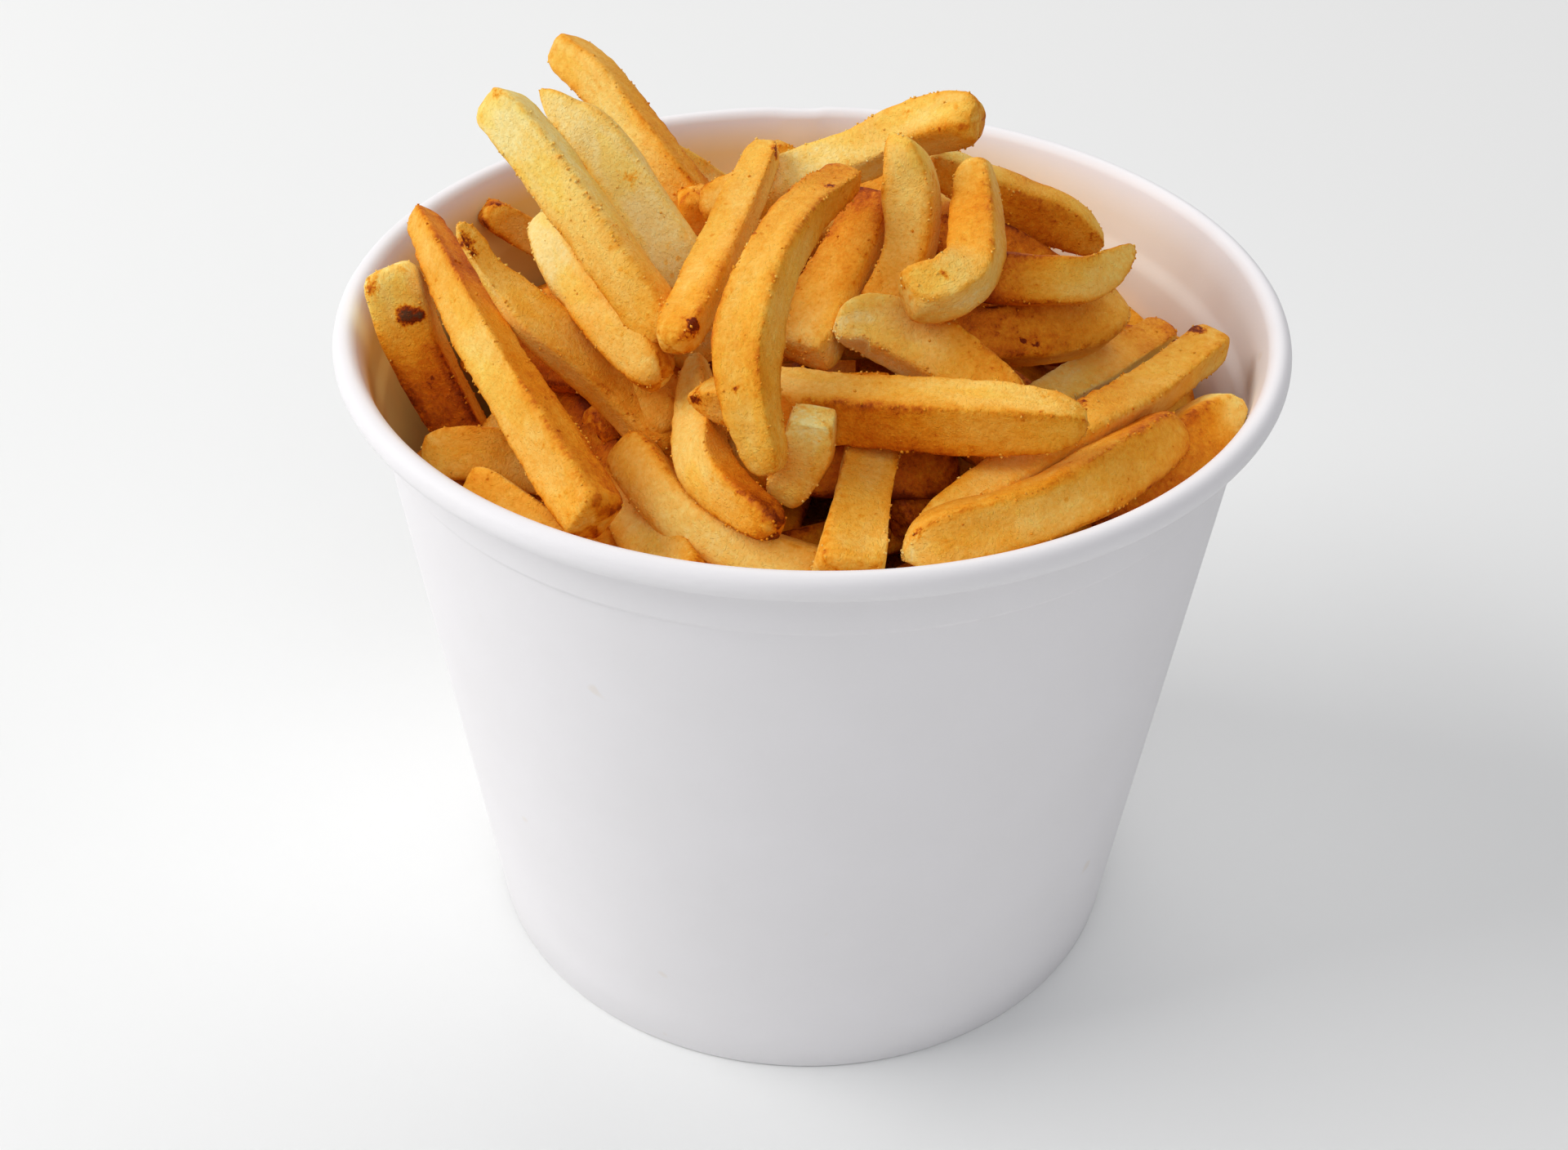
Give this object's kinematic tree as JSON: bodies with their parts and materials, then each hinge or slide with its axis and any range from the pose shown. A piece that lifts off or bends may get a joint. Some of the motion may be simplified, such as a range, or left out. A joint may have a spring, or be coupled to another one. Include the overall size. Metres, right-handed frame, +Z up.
{
  "type": "bucket of french fries",
  "caption": "White paperboard takeaway bucket with a rolled rim, heaped with thick-cut french fries that stand above the rim.",
  "frame": {"origin": "centre of the bucket's foot, on the surface that it stands on", "axes": "+Z up along the bucket's axis, -Y towards the viewer, +X to the viewer's right"},
  "size_m": [0.156, 0.156, 0.157],
  "materials": {
    "paperboard": "smooth matte white coated paperboard",
    "fried_potato": "golden fried potato with a dry grainy crust, browned at the edges and ends"
  },
  "bodies": {
    "root": {"bucket_wall": "paperboard", "bucket_base": "paperboard", "fries": "fried_potato"}
  },
  "joints": []
}
